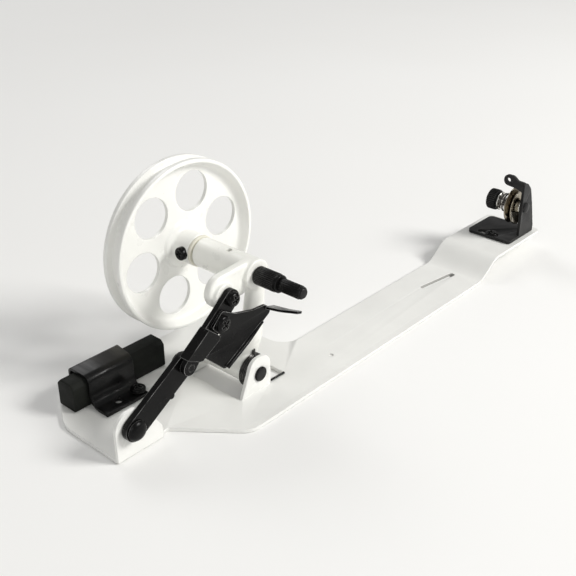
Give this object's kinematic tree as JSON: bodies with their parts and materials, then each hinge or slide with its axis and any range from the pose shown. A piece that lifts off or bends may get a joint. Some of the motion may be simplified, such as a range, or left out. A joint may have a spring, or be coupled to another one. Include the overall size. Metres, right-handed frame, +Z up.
{
  "type": "sewing machine bobbin winder",
  "caption": "Bench bobbin winder: a locking arm carries a rubber-driven wheel and bobbin spindle on a pressed base, with a brake block and a thread tension unit.",
  "frame": {"origin": "centre of the footprint at the underside of the base plate", "axes": "+X along the base from the brake block to the tension unit, +Y along the winding shaft away from the operator, +Z up"},
  "size_m": [0.278, 0.0844, 0.0913],
  "materials": {
    "arm_link_screw": "semi-gloss black",
    "arm_pivot_pin": "semi-gloss black",
    "base_plate": "semi-gloss",
    "bracket_screw": "semi-gloss black",
    "brake_block": "matte",
    "brake_clip": "semi-gloss black",
    "brake_screw": "semi-gloss black",
    "drive_wheel": "semi-gloss",
    "hub_set_screw": "semi-gloss black",
    "knee_rivet": "semi-gloss black",
    "knee_washer": "semi-gloss black",
    "long_link": "semi-gloss black",
    "lug_rivet": "semi-gloss black",
    "pivot_retainer": "semi-gloss black",
    "shaft_bush_far": "satin",
    "shaft_bush_near": "satin",
    "shaft_retainer": "semi-gloss black",
    "spring_cap": "polished",
    "swing_arm": "semi-gloss",
    "tension_bracket": "semi-gloss black",
    "tension_disc_far": "polished",
    "tension_disc_near": "polished",
    "tension_nut": "semi-gloss black",
    "tension_post": "satin",
    "tension_spring": "polished",
    "thrust_washer": "semi-gloss",
    "torsion_spring": "semi-gloss black",
    "trip_plate": "semi-gloss black",
    "trip_screw": "semi-gloss black",
    "upper_link": "semi-gloss black",
    "winding_shaft": "semi-gloss black"
  },
  "bodies": {
    "base": {"base_plate": "base_plate", "arm_pivot_pin": "arm_pivot_pin", "pivot_retainer": "pivot_retainer", "torsion_spring": "torsion_spring", "lug_rivet": "lug_rivet", "brake_block": "brake_block", "brake_clip": "brake_clip", "brake_screw": "brake_screw", "tension_bracket": "tension_bracket", "bracket_screw": "bracket_screw", "tension_post": "tension_post", "tension_disc_near": "tension_disc_near", "tension_spring": "tension_spring", "spring_cap": "spring_cap"},
    "arm": {"swing_arm": "swing_arm", "shaft_bush_near": "shaft_bush_near", "shaft_bush_far": "shaft_bush_far", "arm_link_screw": "arm_link_screw"},
    "wheel": {"drive_wheel": "drive_wheel", "hub_set_screw": "hub_set_screw", "winding_shaft": "winding_shaft", "thrust_washer": "thrust_washer", "shaft_retainer": "shaft_retainer"},
    "lower_latch": {"long_link": "long_link", "knee_washer": "knee_washer"},
    "upper_latch": {"upper_link": "upper_link", "knee_rivet": "knee_rivet", "trip_plate": "trip_plate", "trip_screw": "trip_screw"},
    "nut": {"tension_nut": "tension_nut"},
    "far_disc": {"tension_disc_far": "tension_disc_far"}
  },
  "joints": [
    {"name": "arm_swing", "type": "hinge", "parent": "base", "child": "arm", "pos_m": [-0.0685, -0.00545, 0.0094], "axis": [0, -1, 0], "range_deg": [0, 16.3], "deforming": ["torsion_spring"]},
    {"name": "wheel_spin", "type": "hinge", "parent": "arm", "child": "wheel", "pos_m": [-0.065, 0.02225, 0.0533], "axis": [0, 1, 0], "continuous": true},
    {"name": "lower_latch_swing", "type": "hinge", "parent": "base", "child": "lower_latch", "pos_m": [-0.1315, -0.016, 0.0134], "axis": [0, -1, 0], "range_deg": [0, 45.74]},
    {"name": "upper_latch_swing", "type": "hinge", "parent": "arm", "child": "upper_latch", "pos_m": [-0.0832, -0.01935, 0.051], "axis": [0, 1, 0], "range_deg": [0, 56.66]},
    {"name": "nut_turn", "type": "hinge", "parent": "base", "child": "nut", "pos_m": [0.1235, -0.02065, 0.0275], "axis": [0, -1, 0], "continuous": true},
    {"name": "disc_lift", "type": "slide", "parent": "base", "child": "far_disc", "axis": [0, 1, 0], "range_m": [0, 0.0008], "deforming": ["tension_spring"]}
  ],
  "couplings": [
    {"joint": "lower_latch_swing", "follows": "arm_swing", "ratio": 2.8},
    {"joint": "upper_latch_swing", "follows": "arm_swing", "ratio": 3.47}
  ]
}
